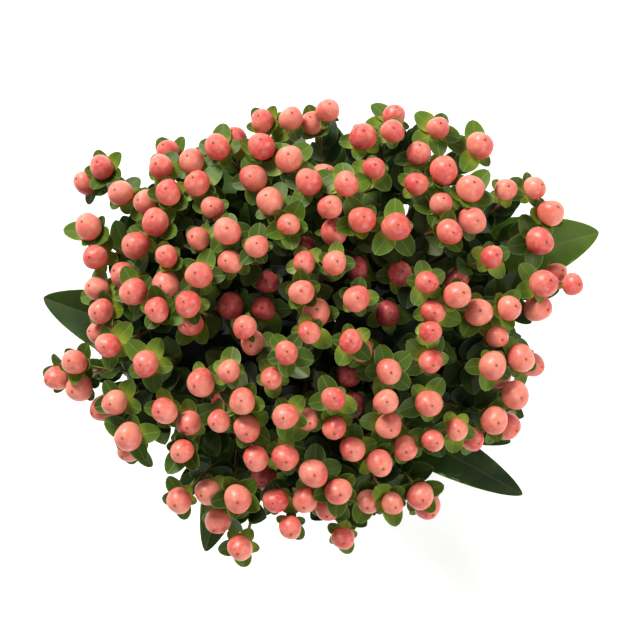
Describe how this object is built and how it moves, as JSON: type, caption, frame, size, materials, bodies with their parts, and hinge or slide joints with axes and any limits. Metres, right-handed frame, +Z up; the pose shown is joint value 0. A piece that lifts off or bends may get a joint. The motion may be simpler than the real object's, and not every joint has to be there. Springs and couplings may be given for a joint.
{
  "type": "hand-tied hypericum berry bunch",
  "caption": "Round hand-tied bunch of cut hypericum stems with coral berries, green sepals and dark leaves, tied with twine and standing on its splayed stem ends.",
  "frame": {"origin": "middle of the bunch's outline, seen from above, on the ground that the cut ends stand on", "axes": "+Z up the bunch to the middle of its dome of berries; +X and +Y across it, as the head is seen from above with +Y at the top"},
  "size_m": [0.2354, 0.1962, 0.3217],
  "materials": {
    "foliage": "satin",
    "berry": "satin",
    "bark": "matte",
    "twine": "matte"
  },
  "bodies": {
    "root": {"stem_01": "foliage", "stem_02": "foliage", "stem_03": "foliage", "stem_04": "foliage", "stem_05": "foliage", "stem_06": "foliage", "stem_07": "foliage", "stem_08": "foliage", "stem_09": "foliage", "stem_10": "foliage", "stem_11": "foliage", "stem_12": "foliage", "stem_13": "foliage", "stem_14": "foliage", "stem_15": "foliage", "stem_16": "foliage", "stem_17": "foliage", "stem_18": "foliage", "stem_19": "foliage", "stem_20": "foliage", "stem_21": "foliage", "stem_22": "foliage", "tie": "twine"}
  },
  "joints": []
}
